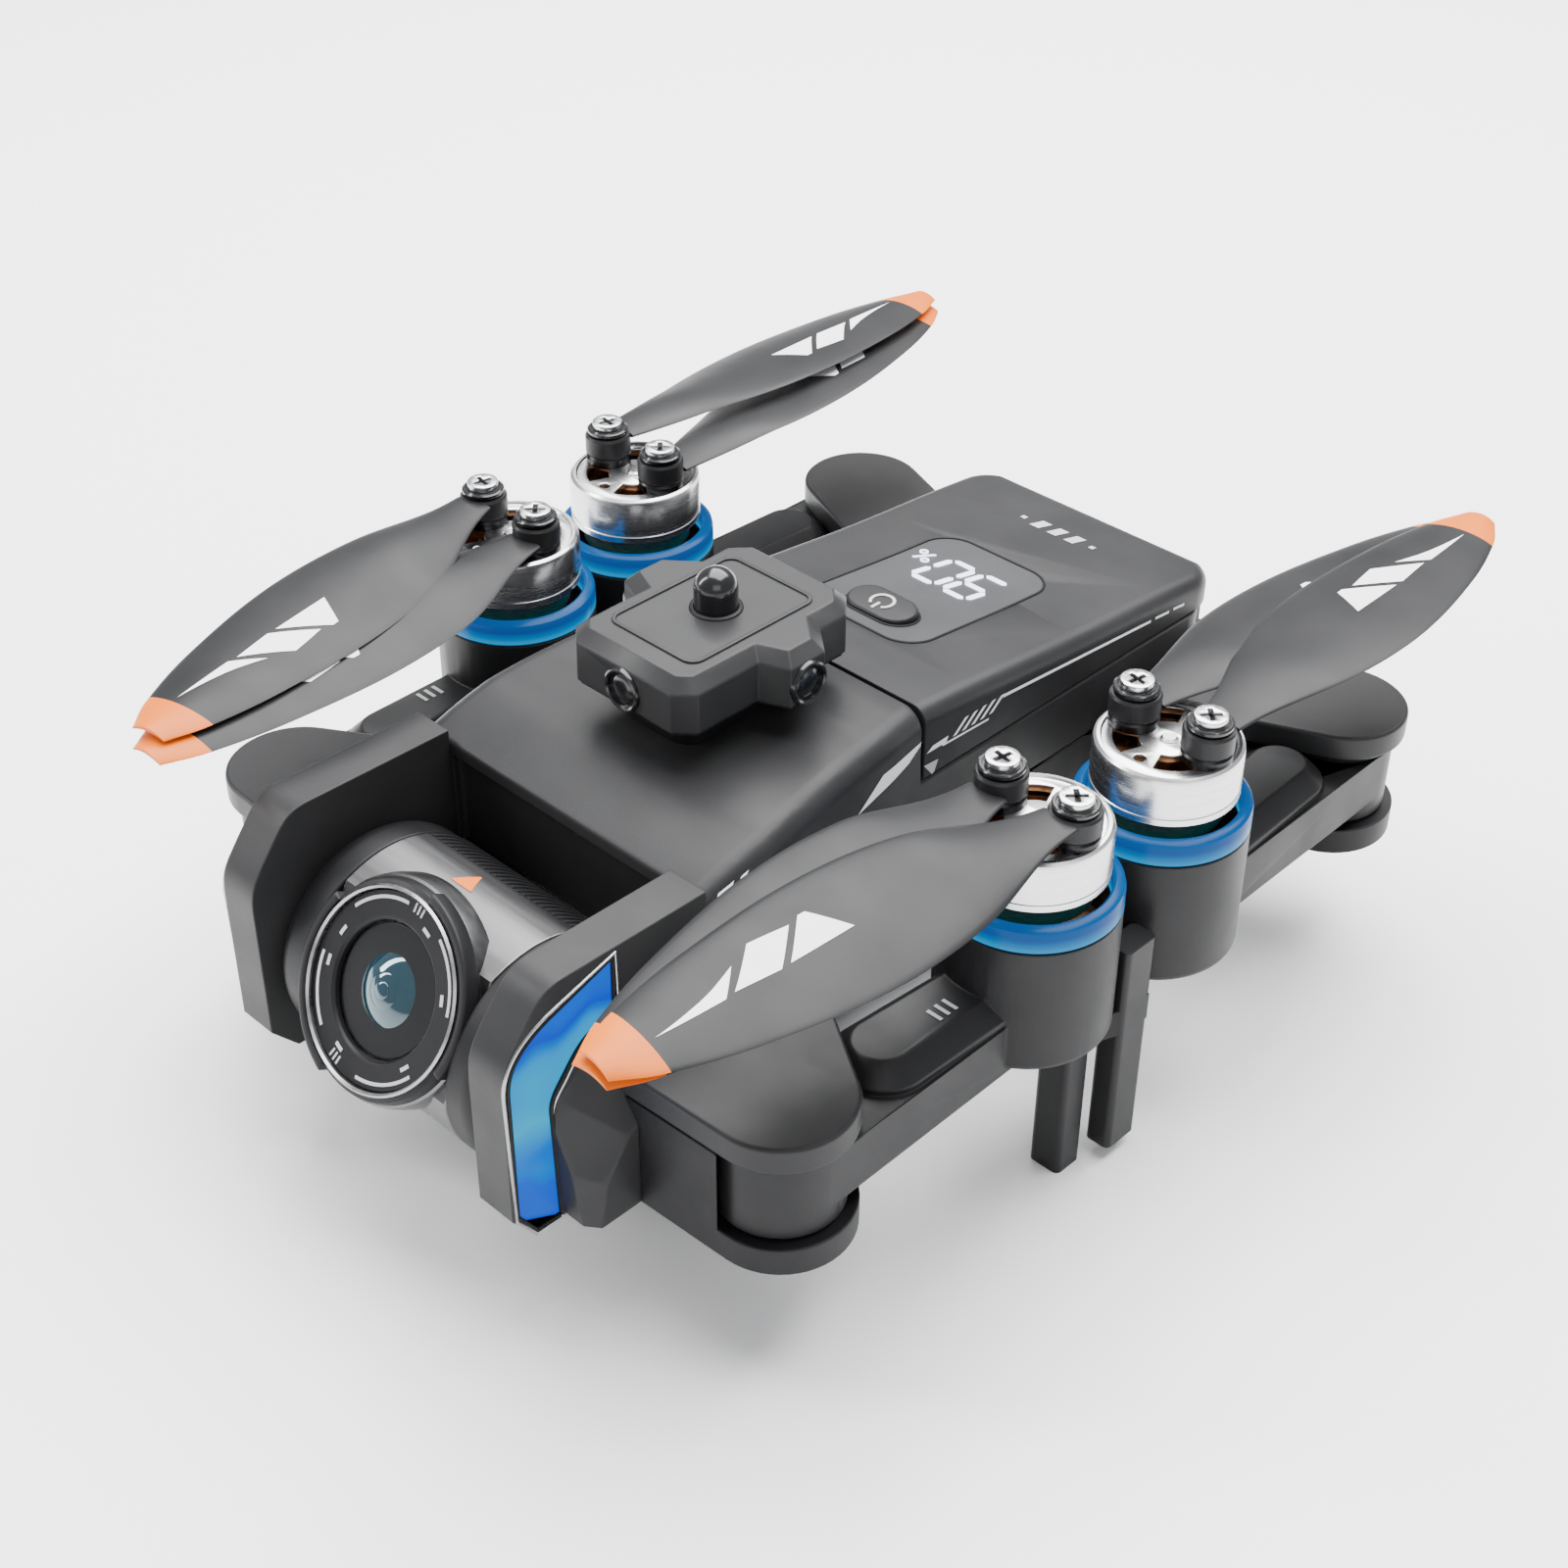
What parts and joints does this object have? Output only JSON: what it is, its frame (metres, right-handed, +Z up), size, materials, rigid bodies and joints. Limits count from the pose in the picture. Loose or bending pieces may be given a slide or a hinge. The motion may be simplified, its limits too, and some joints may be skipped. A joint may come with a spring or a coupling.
{
  "type": "folding camera quadcopter",
  "caption": "Folding camera drone: battery body with display, tilting camera drum, swing-out motor arms, hinged propeller blades, lit motor rings, sensor turret and landing legs.",
  "frame": {"origin": "on the ground, on the symmetry plane, midway between the front and the rear motors, which is the middle of the folded drone's footprint within a millimetre", "axes": "+X to the aircraft's left, nose along -Y and tail along +Y, +Z up; modelled folded and standing on its feet"},
  "size_m": [0.1176, 0.154, 0.0678],
  "materials": {
    "dark_shell": "fine satin-matte moulded plastic",
    "black_plastic": "matte black plastic",
    "gloss_black": "glossy black plastic",
    "barrel_grey": "satin anodised, ribbed at its rear edge",
    "bell_silver": "turned satin",
    "steel": "bright pins and screws",
    "winding_copper": "enamelled copper windings on a dark core",
    "light_blue": "translucent, lit blue to cyan",
    "lens_glass": "dark coated glass",
    "blade_grey": "satin blade with orange tip and white marks",
    "panel_grey": "smooth satin panel",
    "circuit_green": "lacquered circuit board",
    "cell_silver": "foil pouch cells",
    "sensor_black": "glossy black window"
  },
  "bodies": {
    "fuselage": {"upper_shell": "dark_shell", "lower_shell": "black_plastic", "case_screws": "steel", "hinge_pins": "steel", "main_board": "circuit_green", "flow_sensor": "gloss_black", "nose_fairing_left": "dark_shell", "nose_fairing_right": "dark_shell", "nose_light_left": "light_blue", "nose_light_right": "light_blue", "module_base": "black_plastic", "module_cover": "dark_shell", "module_dome": "gloss_black", "module_eyes": "sensor_black"},
    "battery": {"battery_case": "dark_shell", "battery_cells": "cell_silver", "display_panel": "panel_grey", "charge_socket": "steel"},
    "button": {"power_button": "dark_shell"},
    "camera": {"camera_housing": "barrel_grey", "camera_cheeks": "black_plastic", "camera_bezel": "black_plastic", "camera_lens": "lens_glass", "image_sensor": "circuit_green"},
    "arm_front_left": {"arm_front_left": "dark_shell", "led_ring_front_left": "light_blue", "stator_front_left": "winding_copper", "landing_leg_left": "black_plastic"},
    "rotor_front_left": {"motor_bell_front_left": "bell_silver", "prop_hub_front_left": "black_plastic", "blade_screws_front_left": "steel"},
    "blade_front_left_outer": {"blade_front_left_outer": "blade_grey"},
    "blade_front_left_inner": {"blade_front_left_inner": "blade_grey"},
    "arm_front_right": {"arm_front_right": "dark_shell", "led_ring_front_right": "light_blue", "stator_front_right": "winding_copper", "landing_leg_right": "black_plastic"},
    "rotor_front_right": {"motor_bell_front_right": "bell_silver", "prop_hub_front_right": "black_plastic", "blade_screws_front_right": "steel"},
    "blade_front_right_outer": {"blade_front_right_outer": "blade_grey"},
    "blade_front_right_inner": {"blade_front_right_inner": "blade_grey"},
    "arm_rear_left": {"arm_rear_left": "dark_shell", "led_ring_rear_left": "light_blue", "stator_rear_left": "winding_copper"},
    "rotor_rear_left": {"motor_bell_rear_left": "bell_silver", "prop_hub_rear_left": "black_plastic", "blade_screws_rear_left": "steel"},
    "blade_rear_left_outer": {"blade_rear_left_outer": "blade_grey"},
    "blade_rear_left_inner": {"blade_rear_left_inner": "blade_grey"},
    "arm_rear_right": {"arm_rear_right": "dark_shell", "led_ring_rear_right": "light_blue", "stator_rear_right": "winding_copper"},
    "rotor_rear_right": {"motor_bell_rear_right": "bell_silver", "prop_hub_rear_right": "black_plastic", "blade_screws_rear_right": "steel"},
    "blade_rear_right_outer": {"blade_rear_right_outer": "blade_grey"},
    "blade_rear_right_inner": {"blade_rear_right_inner": "blade_grey"}
  },
  "joints": [
    {"name": "battery_slide", "type": "slide", "parent": "fuselage", "child": "battery", "axis": [0, 1, 0], "range_m": [0, 0.07]},
    {"name": "power_button_press", "type": "slide", "parent": "battery", "child": "button", "axis": [0, 0, -1], "range_m": [0, 0.0006], "stiffness_N_per_m": 900},
    {"name": "camera_tilt", "type": "hinge", "parent": "fuselage", "child": "camera", "pos_m": [0, -0.0583, 0.028], "axis": [1, 0, 0], "range_deg": [0, 90]},
    {"name": "arm_fold_front_left", "type": "hinge", "parent": "fuselage", "child": "arm_front_left", "pos_m": [0.0432, -0.0504, 0.0254], "axis": [0, 0, -1], "range_deg": [0, 120]},
    {"name": "motor_spin_front_left", "type": "hinge", "parent": "arm_front_left", "child": "rotor_front_left", "pos_m": [0.045, -0.0116, 0.05], "axis": [0, 0, 1], "range_deg": [-15, 110]},
    {"name": "blade_fold_front_left_outer", "type": "hinge", "parent": "rotor_front_left", "child": "blade_front_left_outer", "pos_m": [0.0503, -0.0116, 0.0545], "axis": [0, 0, 1], "range_deg": [0, 90]},
    {"name": "blade_fold_front_left_inner", "type": "hinge", "parent": "rotor_front_left", "child": "blade_front_left_inner", "pos_m": [0.0397, -0.0116, 0.0545], "axis": [0, 0, -1], "range_deg": [0, 40]},
    {"name": "arm_fold_front_right", "type": "hinge", "parent": "fuselage", "child": "arm_front_right", "pos_m": [-0.0432, -0.0504, 0.0254], "axis": [0, 0, 1], "range_deg": [0, 120]},
    {"name": "motor_spin_front_right", "type": "hinge", "parent": "arm_front_right", "child": "rotor_front_right", "pos_m": [-0.045, -0.0116, 0.05], "axis": [0, 0, -1], "range_deg": [-15, 110]},
    {"name": "blade_fold_front_right_outer", "type": "hinge", "parent": "rotor_front_right", "child": "blade_front_right_outer", "pos_m": [-0.0503, -0.0116, 0.0545], "axis": [0, 0, -1], "range_deg": [0, 90]},
    {"name": "blade_fold_front_right_inner", "type": "hinge", "parent": "rotor_front_right", "child": "blade_front_right_inner", "pos_m": [-0.0397, -0.0116, 0.0545], "axis": [0, 0, 1], "range_deg": [0, 40]},
    {"name": "arm_fold_rear_left", "type": "hinge", "parent": "fuselage", "child": "arm_rear_left", "pos_m": [0.0432, 0.0556, 0.0254], "axis": [0, 0, 1], "range_deg": [0, 112]},
    {"name": "motor_spin_rear_left", "type": "hinge", "parent": "arm_rear_left", "child": "rotor_rear_left", "pos_m": [0.046, 0.0116, 0.05], "axis": [0, 0, -1], "range_deg": [-35, 100]},
    {"name": "blade_fold_rear_left_outer", "type": "hinge", "parent": "rotor_rear_left", "child": "blade_rear_left_outer", "pos_m": [0.0513, 0.0116, 0.0545], "axis": [0, 0, -1], "range_deg": [0, 90]},
    {"name": "blade_fold_rear_left_inner", "type": "hinge", "parent": "rotor_rear_left", "child": "blade_rear_left_inner", "pos_m": [0.0407, 0.0116, 0.0545], "axis": [0, 0, 1], "range_deg": [0, 90]},
    {"name": "arm_fold_rear_right", "type": "hinge", "parent": "fuselage", "child": "arm_rear_right", "pos_m": [-0.0432, 0.0556, 0.0254], "axis": [0, 0, -1], "range_deg": [0, 112]},
    {"name": "motor_spin_rear_right", "type": "hinge", "parent": "arm_rear_right", "child": "rotor_rear_right", "pos_m": [-0.046, 0.0116, 0.05], "axis": [0, 0, 1], "range_deg": [-35, 100]},
    {"name": "blade_fold_rear_right_outer", "type": "hinge", "parent": "rotor_rear_right", "child": "blade_rear_right_outer", "pos_m": [-0.0513, 0.0116, 0.0545], "axis": [0, 0, 1], "range_deg": [0, 90]},
    {"name": "blade_fold_rear_right_inner", "type": "hinge", "parent": "rotor_rear_right", "child": "blade_rear_right_inner", "pos_m": [-0.0407, 0.0116, 0.0545], "axis": [0, 0, -1], "range_deg": [0, 90]}
  ]
}
